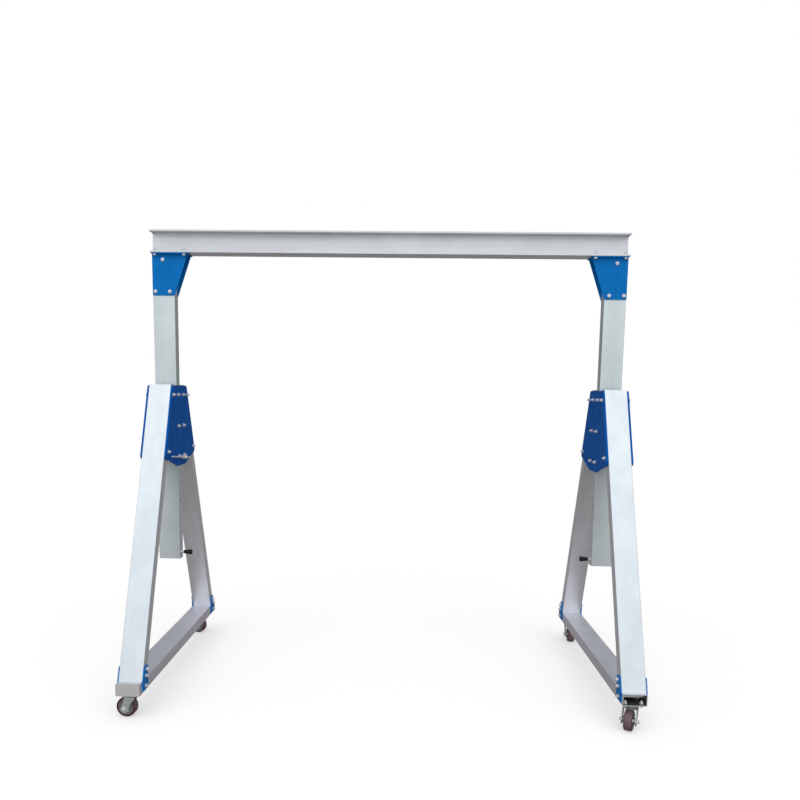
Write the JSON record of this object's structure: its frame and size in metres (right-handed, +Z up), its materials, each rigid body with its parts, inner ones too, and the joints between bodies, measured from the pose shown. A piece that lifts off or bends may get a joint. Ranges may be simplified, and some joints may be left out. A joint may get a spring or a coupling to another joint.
{
  "type": "portable gantry crane",
  "caption": "Portable aluminium gantry crane: an I-beam on telescoping masts, held by A-frame legs with blue side plates, on swivel casters.",
  "frame": {"origin": "on the floor, under the middle of the crane", "axes": "+X along the beam, +Y towards the rear feet, +Z up"},
  "size_m": [3.0402, 1.6641, 2.877],
  "materials": {
    "beam_aluminium": "extruded, satin",
    "mast_aluminium": "extruded, satin",
    "leg_aluminium": "extruded, satin",
    "base_aluminium": "mill finish, dull",
    "cap_grey": "matte",
    "blue_paint": "powder coat",
    "zinc_plate": "zinc plated",
    "zinc_bolts": "bright zinc",
    "black_grip": "gloss",
    "hub_iron": "painted silver grey",
    "maroon_tread": "polyurethane, satin"
  },
  "bodies": {
    "head": {"i_beam": "beam_aluminium", "left_gusset_plates": "blue_paint", "left_gusset_bolts": "zinc_bolts", "left_mast": "mast_aluminium", "left_stop_pin": "zinc_bolts", "left_stop_pin_grip": "black_grip", "right_gusset_plates": "blue_paint", "right_gusset_bolts": "zinc_bolts", "right_mast": "mast_aluminium", "right_stop_pin": "zinc_bolts", "right_stop_pin_grip": "black_grip"},
    "left_frame": {"left_inner_side_plate": "blue_paint", "left_outer_side_plate": "blue_paint", "left_front_leg": "leg_aluminium", "left_rear_leg": "leg_aluminium", "left_base_beam": "base_aluminium", "left_foot_plates": "blue_paint", "left_frame_bolts": "zinc_bolts", "left_caster_plates": "zinc_plate", "left_lock_pin": "zinc_bolts", "left_end_caps": "cap_grey"},
    "right_frame": {"right_inner_side_plate": "blue_paint", "right_outer_side_plate": "blue_paint", "right_front_leg": "leg_aluminium", "right_rear_leg": "leg_aluminium", "right_base_beam": "base_aluminium", "right_foot_plates": "blue_paint", "right_frame_bolts": "zinc_bolts", "right_caster_plates": "zinc_plate", "right_end_cap": "cap_grey"},
    "front_left_swivel": {"front_left_fork": "zinc_plate", "front_left_axle": "zinc_bolts"},
    "front_left_wheel": {"front_left_wheel_hub": "hub_iron", "front_left_tyre": "maroon_tread"},
    "rear_left_swivel": {"rear_left_fork": "zinc_plate", "rear_left_axle": "zinc_bolts"},
    "rear_left_wheel": {"rear_left_wheel_hub": "hub_iron", "rear_left_tyre": "maroon_tread"},
    "front_right_swivel": {"front_right_fork": "zinc_plate", "front_right_axle": "zinc_bolts"},
    "front_right_wheel": {"front_right_wheel_hub": "hub_iron", "front_right_tyre": "maroon_tread"},
    "rear_right_swivel": {"rear_right_fork": "zinc_plate", "rear_right_axle": "zinc_bolts"},
    "rear_right_wheel": {"rear_right_wheel_hub": "hub_iron", "rear_right_tyre": "maroon_tread"}
  },
  "joints": [
    {"name": "left_height_slide", "type": "slide", "parent": "head", "child": "left_frame", "axis": [0, 0, -1], "range_m": [-0.54, 0.555]},
    {"name": "right_height_slide", "type": "slide", "parent": "head", "child": "right_frame", "axis": [0, 0, -1], "range_m": [-0.54, 0.555]},
    {"name": "front_left_swivel_turn", "type": "hinge", "parent": "left_frame", "child": "front_left_swivel", "pos_m": [-1.426, -0.74, 0.142], "axis": [0, 0, 1], "continuous": true},
    {"name": "front_left_wheel_spin", "type": "hinge", "parent": "front_left_swivel", "child": "front_left_wheel", "pos_m": [-1.46385, -0.73669, 0.0585], "axis": [-0.0872, -0.9962, 0], "continuous": true},
    {"name": "rear_left_swivel_turn", "type": "hinge", "parent": "left_frame", "child": "rear_left_swivel", "pos_m": [-1.426, 0.74, 0.142], "axis": [0, 0, 1], "continuous": true},
    {"name": "rear_left_wheel_spin", "type": "hinge", "parent": "rear_left_swivel", "child": "rear_left_wheel", "pos_m": [-1.46287, 0.74919, 0.0585], "axis": [-0.2419, -0.9703, 0], "continuous": true},
    {"name": "front_right_swivel_turn", "type": "hinge", "parent": "right_frame", "child": "front_right_swivel", "pos_m": [1.426, -0.74, 0.142], "axis": [0, 0, 1], "continuous": true},
    {"name": "front_right_wheel_spin", "type": "hinge", "parent": "front_right_swivel", "child": "front_right_wheel", "pos_m": [1.40875, -0.77386, 0.0585], "axis": [0.891, -0.454, 0], "continuous": true},
    {"name": "rear_right_swivel_turn", "type": "hinge", "parent": "right_frame", "child": "rear_right_swivel", "pos_m": [1.426, 0.74, 0.142], "axis": [0, 0, 1], "continuous": true},
    {"name": "rear_right_wheel_spin", "type": "hinge", "parent": "rear_right_swivel", "child": "rear_right_wheel", "pos_m": [1.42335, 0.70209, 0.0585], "axis": [0.9976, -0.0698, 0], "continuous": true}
  ]
}
